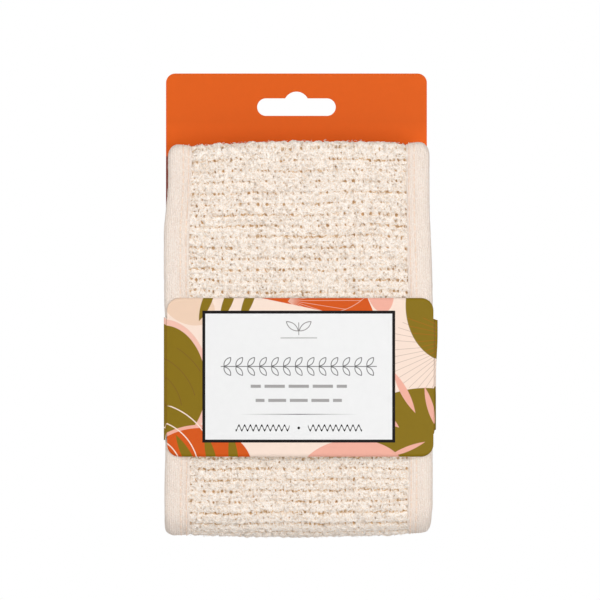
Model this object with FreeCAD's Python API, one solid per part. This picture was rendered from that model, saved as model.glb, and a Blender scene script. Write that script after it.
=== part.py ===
"""Knitted back scrubber strap, folded in four and held on a hang card by a belly band.

Row frame: +Z up, +Y to the back of the pack, origin at the middle of the hang slot, on the card's mid plane.
The strap is one long fabric laminate. It is folded in half with the soft side inside, then in half again,
so its section is four upright runs joined by half-round turns. Both ends and both hand loops lie inside,
at the top of the two rear runs. The strap's own section is measured by n: plus towards the knitted face,
minus towards the soft backing.
"""

import FreeCAD
import Part

import math
import os

Vector = FreeCAD.Vector

# ---- driving dimensions, millimetres ----------------------------------------------------------------

# Hang card
CARD_WIDTH = 106.3
CARD_TOP = 13.7              # above the slot's middle
CARD_BOTTOM = -169.5
CARD_THICK = 0.5
CARD_CORNER = 3.8
SLOT_LENGTH = 32.0           # the usual 32 mm peg hook slot
SLOT_HEIGHT = 7.1
HUMP_RADIUS = 5.2            # raised middle of the slot
HUMP_TOP = 6.3               # above the slot's middle

# Folded strap
STRAP_WIDTH = 108.4
STRAP_MIDDLE_X = 1.1         # the folded strap sits a little right of the card's middle
STRAP_TOP = -14.1            # outside of the top fold
STRAP_BOTTOM = -175.3        # outside of the bottom fold
KNIT_THICK = 2.2
BACKING_THICK = 1.2
TAPE_THICK = 0.5             # binding tape and end hem tape
BINDING_WIDTH = 10.0         # how far the tape reaches over the faces
PITCH_PLAIN = 4.6            # between two runs with nothing between them
PITCH_HANDLE = 7.4           # between two runs with a hand loop between them
ENDS_TOP = -22.0             # the strap's two ends
HEM_HEIGHT = 12.0
HEM_TUCK = 6.0               # how far the panels stop short of the end, and the loop's ends go in

# Sewing thread along the bindings and hems
THREAD_WIDTH = 0.5
THREAD_THICK = 0.15
THREAD_ROWS = (1.2, 3.4)     # from the tape's inner edge
TACK_ROWS = (1.5, 4.5)       # below the strap's end, where the hand loop's ends are held
TACK_HEIGHT = 0.9
TACK_LENGTH = 22.0

# Hand loops
WEBBING_WIDTH = 25.0
WEBBING_THICK = 1.1
PLY_SPACING = 1.3
LOOP_RISE = 1.0              # above the hem before it turns over
LOOP_REACH = 100.0           # how far down the folded loop hangs

# Belly band
BAND_THICK = 0.4
BAND_LEFT = -53.8            # outside of the left side wall
BAND_RIGHT = 56.7            # outside of the right side wall, which stands off the strap
PANEL_LEFT = -52.2           # front label panel, whose wings are higher than the side straps
PANEL_RIGHT = 55.3
PANEL_TOP = -78.3
PANEL_BOTTOM = -142.3
PANEL_CORNER = 5.0
BAND_TOP = -86.7             # side straps and back flaps
BAND_BOTTOM = -133.2
CREASE_RADIUS = 0.5          # inside of each folded corner
FLAP_OVERLAP = 12.0          # each back flap runs this far past the card's middle
GLUE_THICK = 0.1
CLEARANCE = 0.3              # between the fabric and the card or band

# ---- worked out from those --------------------------------------------------------------------------

STRAP_THICK = KNIT_THICK + BACKING_THICK
N_KNIT = STRAP_THICK / 2                     # knitted face
N_BACKING = -STRAP_THICK / 2                 # soft face
N_INTERFACE = N_KNIT - KNIT_THICK            # between the two panels
N_TAPE = STRAP_THICK / 2 + TAPE_THICK        # outside of the tape, either side

REAR = -CARD_THICK / 2 - CLEARANCE           # the folded strap's rear face
Y4 = REAR - N_TAPE                           # middle of each run, front to back
Y3 = Y4 - PITCH_HANDLE
Y2 = Y3 - PITCH_HANDLE
Y1 = Y2 - PITCH_PLAIN
FRONT = Y1 - N_TAPE                          # the folded strap's front face

TOP_TURN = STRAP_TOP - PITCH_PLAIN / 2 - N_TAPE
BOTTOM_TURN = STRAP_BOTTOM + (Y4 - Y1) / 2 + N_TAPE

STRAP_LEFT = STRAP_MIDDLE_X - STRAP_WIDTH / 2
STRAP_RIGHT = STRAP_MIDDLE_X + STRAP_WIDTH / 2


def ribbon(runs, n_low, n_high, x_low, x_high):
    """A flat strip, seen edge on in the YZ plane and pushed out along X.

    runs is a list of (y, z_from, z_to): upright runs, each joined to the next by a half-round turn at the
    z where it ends. n_low and n_high are the strip's two faces, measured from the runs' own line to the
    right of the way they go.
    """

    def side(n):
        ends = []
        for y, z_from, z_to in runs:
            at = y - n if z_to < z_from else y + n
            ends.append((Vector(x_low, at, z_from), Vector(x_low, at, z_to)))
        edges = []
        for i, (start, end) in enumerate(ends):
            edges.append(Part.makeLine(start, end))
            if i + 1 < len(ends):
                after = ends[i + 1][0]
                reach = abs(after.y - end.y) / 2
                way = -1 if end.z < start.z else 1
                middle = Vector(x_low, (end.y + after.y) / 2, end.z + way * reach)
                edges.append(Part.Arc(end, middle, after).toShape())
        return edges, ends[0][0], ends[-1][1]

    low, low_start, low_end = side(n_low)
    high, high_start, high_end = side(n_high)
    caps = [Part.makeLine(low_end, high_end), Part.makeLine(high_start, low_start)]
    outline = Part.Wire(Part.__sortEdges__(low + high + caps))
    return Part.Face(outline).extrude(Vector(x_high - x_low, 0, 0))


def strap_ribbon(n_low, n_high, x_low, x_high, z_ends=ENDS_TOP):
    """A strip that follows the whole folded strap, from the inner end to the outer end."""
    runs = [
        (Y3, z_ends, BOTTOM_TURN),
        (Y2, BOTTOM_TURN, TOP_TURN),
        (Y1, TOP_TURN, BOTTOM_TURN),
        (Y4, BOTTOM_TURN, z_ends),
    ]
    return ribbon(runs, n_low, n_high, x_low, x_high)


def block(x_low, x_high, y_low, y_high, z_low, z_high):
    corner = Vector(x_low, y_low, z_low)
    return Part.makeBox(x_high - x_low, y_high - y_low, z_high - z_low, corner)


def rounded_plate(x_low, x_high, y_low, y_high, z_low, z_high, radius):
    """An upright plate with its four corners rounded in the XZ plane."""
    plate = block(x_low, x_high, y_low, y_high, z_low, z_high)
    along_y = [e for e in plate.Edges if abs(e.tangentAt(e.FirstParameter).y) > 0.99]
    return plate.makeFillet(radius, along_y)


# ---- the strap --------------------------------------------------------------------------------------


def panel(n_low, n_high):
    """The knitted or the soft panel: it runs under both bindings and stops short inside the hems."""
    return strap_ribbon(
        n_low, n_high, STRAP_LEFT + TAPE_THICK, STRAP_RIGHT - TAPE_THICK, ENDS_TOP - HEM_TUCK
    )


def binding_threads(inner_edge, inward):
    """Two rows of thread, flush with the tape, on the knitted side and on the soft side."""
    rows = []
    for row in THREAD_ROWS:
        middle = inner_edge - inward * row
        low, high = middle - THREAD_WIDTH / 2, middle + THREAD_WIDTH / 2
        rows.append(strap_ribbon(N_TAPE - THREAD_THICK, N_TAPE, low, high))
        rows.append(strap_ribbon(-N_TAPE, -N_TAPE + THREAD_THICK, low, high))
    return rows


def binding(outer_edge, inward):
    """A tape folded round one long edge, and its threads. inward is +1 for the left edge, -1 for the right."""
    inner_edge = outer_edge + inward * BINDING_WIDTH
    web = outer_edge + inward * TAPE_THICK
    tape = strap_ribbon(-N_TAPE, N_TAPE, min(outer_edge, inner_edge), max(outer_edge, inner_edge))
    channel = strap_ribbon(
        N_BACKING, N_KNIT, min(web, inner_edge), max(web, inner_edge), ENDS_TOP - HEM_TUCK
    )
    tape = tape.cut(channel)
    threads = binding_threads(inner_edge, inward)
    for thread in threads:
        tape = tape.cut(thread)
    return tape, threads


def stitch_row(y, x_low, x_high, z, height):
    """One row of stitching through an end hem: a flush strip on each of its two faces."""
    return [
        block(x_low, x_high, face, face + THREAD_THICK, z - height / 2, z + height / 2)
        for face in (y - N_TAPE, y + N_TAPE - THREAD_THICK)
    ]


def hem(y):
    """The tape over one end of the strap, between the bindings, with its thread and the loop's bar tacks."""
    x_low = STRAP_LEFT + BINDING_WIDTH
    x_high = STRAP_RIGHT - BINDING_WIDTH
    bottom, tuck = ENDS_TOP - HEM_HEIGHT, ENDS_TOP - HEM_TUCK
    tape = block(x_low, x_high, y - N_TAPE, y + N_TAPE, bottom, ENDS_TOP)
    tape = tape.cut(block(x_low, x_high, y - STRAP_THICK / 2, y + STRAP_THICK / 2, bottom, tuck))
    half_stack = (PLY_SPACING + WEBBING_THICK) / 2
    tape = tape.cut(
        block(
            STRAP_MIDDLE_X - WEBBING_WIDTH / 2,
            STRAP_MIDDLE_X + WEBBING_WIDTH / 2,
            y - half_stack,
            y + half_stack,
            tuck,
            ENDS_TOP,
        )
    )
    threads = []
    for row in THREAD_ROWS:
        threads += stitch_row(y, x_low, x_high, bottom + row, THREAD_WIDTH)
    tacks = []
    for row in TACK_ROWS:
        tack_left = STRAP_MIDDLE_X - TACK_LENGTH / 2
        tacks += stitch_row(y, tack_left, tack_left + TACK_LENGTH, ENDS_TOP - row, TACK_HEIGHT)
    for strip in threads + tacks:
        tape = tape.cut(strip)
    return tape, threads, tacks


def hand_loop(y, pitch):
    """A webbing loop with both ends in the hem at y, turned over to hang in front of that run.

    pitch is the distance to the run in front, and the folded loop hangs midway between the two.
    """
    ends_in = ENDS_TOP - HEM_TUCK
    turn = ENDS_TOP + LOOP_RISE
    half = PLY_SPACING / 2
    middle = y - pitch / 2
    runs = [
        (y - half, ends_in, turn),
        (middle + half, turn, ENDS_TOP - LOOP_REACH),
        (middle - half, ENDS_TOP - LOOP_REACH, turn),
        (y + half, turn, ends_in),
    ]
    return ribbon(
        runs,
        -WEBBING_THICK / 2,
        WEBBING_THICK / 2,
        STRAP_MIDDLE_X - WEBBING_WIDTH / 2,
        STRAP_MIDDLE_X + WEBBING_WIDTH / 2,
    )


# ---- the packaging ----------------------------------------------------------------------------------


def hang_card():
    """A flat card with a hump-backed peg slot."""
    half = CARD_THICK / 2
    card = rounded_plate(
        -CARD_WIDTH / 2, CARD_WIDTH / 2, -half, half, CARD_BOTTOM, CARD_TOP, CARD_CORNER
    )
    end = SLOT_HEIGHT / 2
    middle = SLOT_LENGTH / 2 - end
    slot = block(-middle, middle, -1, 1, -end, end)
    for x in (-middle, middle):
        slot = slot.fuse(Part.makeCylinder(end, 2, Vector(x, -1, 0), Vector(0, 1, 0)))
    hump = Part.makeCylinder(
        HUMP_RADIUS, 2, Vector(0, -1, HUMP_TOP - HUMP_RADIUS), Vector(0, 1, 0)
    )
    hump = hump.common(block(-HUMP_RADIUS, HUMP_RADIUS, -1, 1, 0, HUMP_TOP + 1))
    return card.cut(slot.fuse(hump))


def loop_side(y_front, x_left, x_right, radius, y_left_flap, y_right_flap, x_left_end, x_right_end):
    """One face of the band's loop in the XY plane, from the left flap's end round to the right flap's."""
    r = radius
    corner = r * (1 - 0.5 ** 0.5)
    points = [
        (x_left_end, y_left_flap),
        (x_left + r, y_left_flap),
        (x_left, y_left_flap - r),
        (x_left, y_front + r),
        (x_left + r, y_front),
        (x_right - r, y_front),
        (x_right, y_front + r),
        (x_right, y_right_flap - r),
        (x_right - r, y_right_flap),
        (x_right_end, y_right_flap),
    ]
    at = [Vector(x, y, BAND_BOTTOM) for x, y in points]
    middles = {
        1: (x_left + corner, y_left_flap - corner),
        3: (x_left + corner, y_front + corner),
        5: (x_right - corner, y_front + corner),
        7: (x_right - corner, y_right_flap - corner),
    }
    edges = []
    for i in range(len(at) - 1):
        if i in middles:
            middle = Vector(middles[i][0], middles[i][1], BAND_BOTTOM)
            edges.append(Part.Arc(at[i], middle, at[i + 1]).toShape())
        else:
            edges.append(Part.makeLine(at[i], at[i + 1]))
    return edges, at[0], at[-1]


def belly_band():
    """A printed card sleeve: front label panel, two side walls and two overlapping back flaps."""
    front = FRONT - CLEARANCE
    left_flap = CARD_THICK / 2 + GLUE_THICK
    right_flap = left_flap + BAND_THICK + GLUE_THICK
    inner, inner_start, inner_end = loop_side(
        front,
        BAND_LEFT + BAND_THICK,
        BAND_RIGHT - BAND_THICK,
        CREASE_RADIUS,
        left_flap,
        right_flap,
        FLAP_OVERLAP,
        -FLAP_OVERLAP,
    )
    outer, outer_start, outer_end = loop_side(
        front - BAND_THICK,
        BAND_LEFT,
        BAND_RIGHT,
        CREASE_RADIUS + BAND_THICK,
        left_flap + BAND_THICK,
        right_flap + BAND_THICK,
        FLAP_OVERLAP,
        -FLAP_OVERLAP,
    )
    caps = [Part.makeLine(inner_end, outer_end), Part.makeLine(outer_start, inner_start)]
    outline = Part.Wire(Part.__sortEdges__(inner + outer + caps))
    loop = Part.Face(outline).extrude(Vector(0, 0, BAND_TOP - BAND_BOTTOM))
    label = rounded_plate(
        PANEL_LEFT, PANEL_RIGHT, front - BAND_THICK, front, PANEL_BOTTOM, PANEL_TOP, PANEL_CORNER
    )
    return loop.fuse(label).removeSplitter()


def band_glue():
    """Hot-melt glue: one strip joins the two back flaps, and two hold the card to the left flap."""
    card_back = CARD_THICK / 2
    seam = card_back + GLUE_THICK + BAND_THICK
    z_low, z_high = BAND_BOTTOM + 5, BAND_TOP - 5
    seam_strip = block(-6, 6, seam, seam + GLUE_THICK, z_low, z_high)
    card_strips = [
        block(x, x + 8, card_back, card_back + GLUE_THICK, z_low, z_high) for x in (-44, -22)
    ]
    return seam_strip, card_strips


# ---- write every sub-part ---------------------------------------------------------------------------


def write(name, shapes):
    """One STEP file per sub-part, after a look at each solid."""
    solids = [s for shape in shapes for s in shape.Solids]
    bad = [s for s in solids if not s.isValid() or s.Volume <= 0]
    if bad or not solids:
        raise SystemExit(f"{name}: {len(bad)} of {len(solids)} solids are not valid")
    whole = solids[0] if len(solids) == 1 else Part.makeCompound(solids)
    whole.exportStep(f"parts/{name}.step")
    print(f"{name}: {len(solids)} solid(s), {sum(s.Volume for s in solids) / 1000:.2f} cm3")


def main():
    os.makedirs("parts", exist_ok=True)
    for old in os.listdir("parts"):
        os.remove(os.path.join("parts", old))

    write("knit_face_panel", [panel(N_INTERFACE, N_KNIT)])
    write("soft_backing_panel", [panel(N_BACKING, N_INTERFACE)])
    for side, edge, inward in (("left", STRAP_LEFT, 1), ("right", STRAP_RIGHT, -1)):
        tape, threads = binding(edge, inward)
        write(f"{side}_edge_binding", [tape])
        write(f"{side}_binding_thread", threads)
    for end, y in (("inner", Y3), ("outer", Y4)):
        tape, threads, tacks = hem(y)
        write(f"{end}_end_hem", [tape])
        write(f"{end}_hem_thread", threads)
        write(f"{end}_loop_bar_tacks", tacks)
        write(f"{end}_hand_loop", [hand_loop(y, PITCH_HANDLE)])

    write("hang_card", [hang_card()])
    write("belly_band", [belly_band()])
    seam_strip, card_strips = band_glue()
    write("band_seam_glue", [seam_strip])
    write("card_glue_strips", card_strips)

    length = (
        (ENDS_TOP - BOTTOM_TURN) * 2
        + (TOP_TURN - BOTTOM_TURN) * 2
        + math.pi * ((Y3 - Y2) + (Y2 - Y1) + (Y4 - Y1)) / 2
    )
    print(f"strap length along its middle: {length:.0f} mm")
    print(f"fabric from y {FRONT:.2f} to {REAR:.2f}; runs at {Y1:.2f} {Y2:.2f} {Y3:.2f} {Y4:.2f}")


main()
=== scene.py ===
"""Looks of the back scrubber pack: a knitted strap, folded in four, in a printed belly band on a hang card.

Lengths in the numpy geometry are millimetres, in the row frame, and new_mesh turns them into metres. The
strap's own coordinates are x across it, s along it from its inner end, and n out of its middle: n is positive
towards the knitted face and negative towards the soft backing.
"""

import itertools
import math
from functools import partialmethod

import bpy
import numpy as np
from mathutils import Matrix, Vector


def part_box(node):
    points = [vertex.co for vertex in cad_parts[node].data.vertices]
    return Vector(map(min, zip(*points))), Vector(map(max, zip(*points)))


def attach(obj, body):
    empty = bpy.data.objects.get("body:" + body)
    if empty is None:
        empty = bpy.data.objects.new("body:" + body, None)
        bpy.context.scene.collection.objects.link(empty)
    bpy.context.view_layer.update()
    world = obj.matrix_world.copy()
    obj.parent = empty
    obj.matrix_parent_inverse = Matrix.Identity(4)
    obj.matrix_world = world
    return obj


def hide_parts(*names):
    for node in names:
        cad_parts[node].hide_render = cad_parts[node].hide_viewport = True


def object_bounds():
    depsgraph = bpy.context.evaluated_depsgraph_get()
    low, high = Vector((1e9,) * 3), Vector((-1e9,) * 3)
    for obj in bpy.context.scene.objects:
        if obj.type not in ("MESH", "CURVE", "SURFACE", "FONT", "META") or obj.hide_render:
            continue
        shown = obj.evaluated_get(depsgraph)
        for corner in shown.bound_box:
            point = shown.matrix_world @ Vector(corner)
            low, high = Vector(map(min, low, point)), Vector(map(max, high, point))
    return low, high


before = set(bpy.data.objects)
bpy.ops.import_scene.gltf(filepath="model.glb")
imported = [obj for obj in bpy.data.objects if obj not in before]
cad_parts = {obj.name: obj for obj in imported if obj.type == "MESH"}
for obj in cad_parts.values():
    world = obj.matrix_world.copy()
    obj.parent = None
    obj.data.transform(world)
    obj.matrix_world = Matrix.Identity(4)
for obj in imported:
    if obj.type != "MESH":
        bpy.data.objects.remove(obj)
cad_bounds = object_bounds()


def node_box(*nodes):
    """The lowest and highest corners of some nodes together, in millimetres."""
    corners = np.array([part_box(node) for node in nodes]) * 1000
    return corners[:, 0].min(axis=0), corners[:, 1].max(axis=0)


# ---- places and sizes, from the frame ----

STRAP_LOW, STRAP_HIGH = node_box("left_edge_binding", "right_edge_binding")
HEM_IN_LOW, HEM_IN_HIGH = node_box("inner_end_hem")
HEM_OUT_LOW, HEM_OUT_HIGH = node_box("outer_end_hem")
BAND_LOW, BAND_HIGH = node_box("belly_band")
LEFT, RIGHT = STRAP_LOW[0], STRAP_HIGH[0]
MIDDLE = (LEFT + RIGHT) / 2
HALF_WIDTH = (RIGHT - LEFT) / 2
BINDING = node_box("left_edge_binding")[1][0] - LEFT
N_TAPE = (HEM_IN_HIGH[1] - HEM_IN_LOW[1]) / 2  # the tapes' outer faces
N_KNIT = N_TAPE - 0.5  # the knitted panel's own face
PITCH_PLAIN = 4.6  # between the two front runs
ENDS_TOP = HEM_IN_HIGH[2]
Y1 = STRAP_LOW[1] + N_TAPE  # middle of each run, from the front
Y2 = Y1 + PITCH_PLAIN
Y3 = (HEM_IN_LOW[1] + HEM_IN_HIGH[1]) / 2
Y4 = (HEM_OUT_LOW[1] + HEM_OUT_HIGH[1]) / 2
TOP_TURN = STRAP_HIGH[2] - (Y2 - Y1) / 2 - N_TAPE
LOW_TURN = STRAP_LOW[2] + (Y4 - Y1) / 2 + N_TAPE
SIDE_EDGES = {"left": (LEFT, 1), "right": (RIGHT, -1)}  # each side's x, and which way is inward
SIDES_TOP, SIDES_BOTTOM = -86.7, -133.2  # the belly band's side straps and back flaps
CORNER = 2.4  # radius of the strap's eased corners
SEW_PITCH, SEW_LENGTH = 2.9, 2.7  # of the stitches along the bindings and hems


def folded(runs):
    """The parts of a line folded in the YZ plane, from its upright runs (y, z_from, z_to), and its length.

    Each part is (start, length, run, turn), where one of run and turn is None. A half-round turn joins each
    run to the next.
    """
    found, start = [], 0.0
    for i, (y, z_from, z_to) in enumerate(runs):
        found.append((start, abs(z_to - z_from), (y, z_from, z_to), None))
        start += abs(z_to - z_from)
        if i + 1 < len(runs):
            y_next = runs[i + 1][0]
            half_turn = math.pi * abs(y_next - y) / 2
            found.append((start, half_turn, None, ((y + y_next) / 2, z_to, y, z_to < z_from)))
            start += half_turn
    return found, start


def line_at(parts, s):
    """A folded line and its outward normal at each s, as (y, z) pairs."""
    s = np.asarray(s, float)
    line, normal = np.zeros(s.shape + (2,)), np.zeros(s.shape + (2,))
    for i, (start, length, run, turn) in enumerate(parts):
        low = -np.inf if i == 0 else start
        high = np.inf if i == len(parts) - 1 else start + length
        here = (s >= low) & (s < high)
        t = s[here] - start
        if run:
            y, z_from, z_to = run
            way = np.sign(z_to - z_from)
            line[here] = np.stack([np.full_like(t, y), z_from + way * t], -1)
            normal[here] = (way, 0)
        else:
            y_middle, z, y_start, at_bottom = turn
            radius = abs(y_start - y_middle)
            angle, way = t / radius, (-1 if at_bottom else 1)
            out, cos, sin = np.sign(y_start - y_middle), np.cos(angle), np.sin(angle)
            line[here] = np.stack([y_middle + out * radius * cos, z + way * radius * sin], -1)
            normal[here] = np.stack([way * cos, out * sin], -1)
    return line, normal


PARTS, LENGTH = folded(
    ((Y3, ENDS_TOP, LOW_TURN), (Y2, LOW_TURN, TOP_TURN), (Y1, TOP_TURN, LOW_TURN), (Y4, LOW_TURN, ENDS_TOP))
)
S_TOP_TURN, S_FRONT, S_LOW_TURN = (PARTS[i][0] for i in (3, 4, 5))
ENDS = {"inner": (0.0, 1, Y3), "outer": (LENGTH, -1, Y4)}  # each end's s, the way inward, and its run


def bell(value, width):
    """1 where value is 0, and near 0 where it is twice the width."""
    return np.exp(-((value / width) ** 2))


def smooth(low, high, value):
    """0 below low, 1 above high, and a smooth step between."""
    t = np.clip((value - low) / (high - low), 0, 1)
    return t * t * (3 - 2 * t)


def soften(points):
    """Moves points of the plain folded strap to where the real fabric lies, by amounts fitted to the photo.

    rise is for the crowned folds and eased corners, left and right for the edges, held in by the band.
    """
    x, y, z = points[..., 0], points[..., 1], points[..., 2]
    across = (x - MIDDLE) / HALF_WIDTH
    from_edge = HALF_WIDTH - np.abs(x - MIDDLE)
    top, bottom = STRAP_HIGH[2], STRAP_LOW[2]
    rise = smooth(top - 60, top, z) * (0.3 - 2.2 * across**2 + 0.5 * across)
    rise += smooth(bottom + 60, bottom, z) * (0.1 + 1.5 * across**2 + 0.15 * across)
    rise += smooth(bottom + 30, bottom, z) * 0.9 * smooth(0.70, 1.0, across)
    corner = CORNER - np.clip(from_edge, 0, CORNER)
    drop = CORNER - np.sqrt(np.maximum(CORNER**2 - corner**2, 0))
    shoulder = 0.45 * np.sin(math.pi * np.clip(from_edge / BINDING, 0, 1))
    shoulder -= 0.55 * bell(from_edge - BINDING - 0.3, 1.0)
    rise += smooth(top - 12, top - 1, z) * (shoulder - 0.9 * drop)
    rise += smooth(bottom + 14, bottom + 2, z) * np.where(x < MIDDLE, 0.35, 1.3) * drop
    above_foot = smooth(SIDES_BOTTOM - 14.5, SIDES_BOTTOM - 9.5, z)
    left = 1.15 * smooth(top - 36, top - 14, z) - 0.2 * smooth(bottom + 32, bottom + 18, z)
    left += (0.4 * smooth(SIDES_TOP + 6, SIDES_TOP, z) - 0.25 * smooth(top - 20, top - 40, z)) * above_foot
    left -= 0.2 * smooth(top - 70, top - 50, z) * smooth(top - 26, top - 38, z)
    right = -1.3 * smooth(top - 62, top - 20, z) - 0.25 - 0.35 * smooth(bottom + 12, bottom + 4, z)
    return np.stack([x + np.where(x < MIDDLE, left, right) * across**2, y, z + rise], -1)


def place(x, s, n, parts=PARTS):
    """Points of the strap, from its own coordinates. x, s and n are arrays that fit together."""
    x, s, n = np.broadcast_arrays(np.asarray(x, float), np.asarray(s, float), np.asarray(n, float))
    line, normal = line_at(parts, s)
    yz = line + normal * n[..., None]
    return soften(np.concatenate([x[..., None], yz], -1))


# ---- mesh helpers ----


def grid_quads(rows, columns, closed=False):
    """Faces of a grid whose vertices run row by row. closed joins each row's last column to its first."""
    row = np.arange(rows - 1)[:, None]
    column = np.arange(columns if closed else columns - 1)[None]
    a, b = row * columns + column, row * columns + (column + 1) % columns
    return np.stack([a, b, b + columns, a + columns], -1).reshape(-1, 4)


def new_mesh(name, points, quads, materials, replaced=(), uv=None, fixed=False, body="strap"):
    """A smooth-shaded mesh piece from points in millimetres.

    uv holds two arrays, each point's place on the flat cloth. Unless fixed is set, a piece that is wound
    inside out is turned.
    """
    points = np.asarray(points, float).reshape(-1, 3) / 1000
    if not fixed:
        a, b, c, d = np.moveaxis(points[quads], 1, 0)
        if np.sum(a * (np.cross(b, c) + np.cross(c, d))) < 0:
            quads = quads[:, ::-1]
    mesh = bpy.data.meshes.new(name)
    mesh.vertices.add(len(points))
    mesh.vertices.foreach_set("co", points.astype(np.float32).ravel())
    mesh.loops.add(quads.size)
    mesh.loops.foreach_set("vertex_index", quads.astype(np.int32).ravel())
    mesh.polygons.add(len(quads))
    mesh.polygons.foreach_set("loop_start", np.arange(0, quads.size, 4, dtype=np.int32))
    mesh.update(calc_edges=True)
    mesh.shade_smooth()
    if uv is not None:
        layer = mesh.uv_layers.new(name="cloth")
        flat = np.stack(np.broadcast_arrays(*uv), -1).reshape(-1, 2)[quads.ravel()] / 1000
        layer.data.foreach_set("uv", flat.astype(np.float32).ravel())
    for material in materials:
        mesh.materials.append(material)
    piece = bpy.data.objects.new(name, mesh)
    bpy.context.scene.collection.objects.link(piece)
    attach(piece, body)
    if replaced:
        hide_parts(*replaced)
    return piece


TUBE_TIP = 0.01  # radius at both ends of a tube, which closes it


def tubes(paths, radius, sides, up):
    """Closed tubes along paths of shape (number, points, 3). up points roughly outward at each point."""
    ahead = np.gradient(paths, axis=1)
    ahead /= np.linalg.norm(ahead, axis=-1, keepdims=True) + 1e-9
    first = up - (up * ahead).sum(-1, keepdims=True) * ahead
    first /= np.linalg.norm(first, axis=-1, keepdims=True) + 1e-9
    second = np.cross(ahead, first)
    radius = np.broadcast_to(radius, (*paths.shape[:2], sides)).copy()
    radius[:, 0] = radius[:, -1] = TUBE_TIP
    angle = np.arange(sides) * math.tau / sides
    ring = first[:, :, None] * np.cos(angle)[:, None] + second[:, :, None] * np.sin(angle)[:, None]
    points = paths[:, :, None] + ring * radius[..., None]
    count, rings = paths.shape[:2]
    quads = grid_quads(rings, sides, closed=True)
    quads = (quads[None] + (np.arange(count) * rings * sides)[:, None, None]).reshape(-1, 4)
    return points, quads


def run_along(points):
    """Distance along a line at each of its points."""
    return np.concatenate([[0], np.cumsum(np.linalg.norm(np.diff(points, axis=0), axis=1))])


def wobble(rng, shape, coarse):
    """Smooth random values from -1 to 1 on a grid of the given shape, one node each coarse steps."""
    nodes = rng.uniform(-1, 1, [max(2, int(n / c) + 3) for n, c in zip(shape, coarse, strict=True)])
    for axis, (n, c) in enumerate(zip(shape, coarse, strict=True)):
        at = np.arange(n) / c
        i = at.astype(int)
        t = at - i
        t = (t * t * (3 - 2 * t)).reshape([-1 if a == axis else 1 for a in range(len(shape))])
        nodes = np.take(nodes, i, axis) * (1 - t) + np.take(nodes, i + 1, axis) * t
    return nodes


# ---- shader helpers ----


def linear(*screen):
    """A linear colour from red, green and blue given as 0 to 255 for a screen."""
    parts = (value / 255 for value in screen)
    return (*(v / 12.92 if v <= 0.04045 else ((v + 0.055) / 1.055) ** 2.4 for v in parts), 1.0)


SOFT_EDGE = 0.12  # how wide the edge of a printed shape is, in mm


def feed(tree, place_in, value):
    """Gives a node's input a Value, a socket or a plain value."""
    value = value.socket if isinstance(value, Value) else value
    if isinstance(value, bpy.types.NodeSocket):
        tree.links.new(value, place_in)
    else:
        place_in.default_value = value


class Value:
    """A number that shader nodes work out, so that a pattern reads as a sum."""

    def __init__(self, tree, socket):
        self.tree, self.socket = tree, socket

    def math(self, operation, *others, clamp=False):
        node = self.tree.nodes.new("ShaderNodeMath")
        node.operation, node.use_clamp = operation, clamp
        for place_in, value in zip(node.inputs, (self, *others), strict=False):
            feed(self.tree, place_in, value)
        return Value(self.tree, node.outputs[0])

    __add__ = __radd__ = partialmethod(math, "ADD")
    __sub__ = partialmethod(math, "SUBTRACT")
    __mul__ = __rmul__ = partialmethod(math, "MULTIPLY")
    __truediv__ = partialmethod(math, "DIVIDE")
    most = partialmethod(math, "MAXIMUM")
    size = partialmethod(math, "ABSOLUTE")
    sine = partialmethod(math, "SINE")

    def __rsub__(self, other):
        return (self * -1.0) + other

    def clamped(self, shift=0.0):
        """This plus shift, kept from 0 to 1."""
        return self.math("ADD", shift, clamp=True)

    def repeat(self, period):
        """Distance to the nearest whole multiple of period, with its sign."""
        return self - (self / period).math("ROUND") * period

    def inside(self):
        """1 where this distance is below zero, 0 outside, with a soft edge."""
        return (self * (-1.0 / SOFT_EDGE) + 0.5).clamped()


class Shader:
    """A material with one Principled shader, and the nodes that feed it."""

    def __init__(self, name, roughness, **plain):
        self.material = bpy.data.materials.new(name)
        self.material.use_nodes = True
        self.tree = self.material.node_tree
        self.principled = self.tree.nodes["Principled BSDF"]
        for name, value in {"Roughness": roughness, **plain}.items():
            self.give(name.replace("_", " "), value)

    def node(self, kind, **inputs):
        node = self.tree.nodes.new("ShaderNode" + kind)
        for name, value in inputs.items():
            feed(self.tree, node.inputs[name], value)
        return node

    def coordinates(self, kind="Object"):
        """Object coordinates, or the flat cloth's own, in metres."""
        if kind == "cloth":
            node = self.node("UVMap")
            node.uv_map = "cloth"
            return node.outputs["UV"]
        return self.node("TexCoord").outputs[kind]

    def split(self, socket, scale=1000.0):
        """The parts of a vector, in millimetres unless scale says otherwise."""
        return [Value(self.tree, part) * scale for part in self.node("SeparateXYZ", Vector=socket).outputs]

    def noise(self, vector, scale, detail=2.0, rough=0.5):
        """Noise from about 0 to 1, with scale features per metre of vector."""
        node = self.node("TexNoise", Vector=vector, Scale=scale, Detail=detail, Roughness=rough)
        return Value(self.tree, node.outputs[0])

    def mix(self, share, first, second, blend="MIX"):
        """first where share is 0, second where it is 1. Both are colours or colour sockets."""
        node = self.node("Mix")
        node.data_type, node.blend_type = "RGBA", blend
        for i, value in ((0, share), (6, first), (7, second)):  # its share and its colour inputs
            feed(self.tree, node.inputs[i], value)
        return node.outputs[2]

    def attribute(self, name):
        node = self.node("Attribute")
        node.attribute_name = name
        return Value(self.tree, node.outputs["Fac"])

    def give(self, name, value):
        """Sets or links one of the Principled shader's inputs."""
        feed(self.tree, self.principled.inputs[name], value)

    def tones(self, share, first, second):
        """Colours the surface first where share is 0, second where it is 1, both given as 0 to 255."""
        self.give("Base Color", self.mix(share, linear(*first), linear(*second)))

    def bump(self, height, depth):
        """Raises the surface by height times depth, in metres."""
        self.give("Normal", self.node("Bump", Height=height, Distance=depth, Strength=1.0).outputs[0])


# ---- camera, light and stage ----

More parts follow.
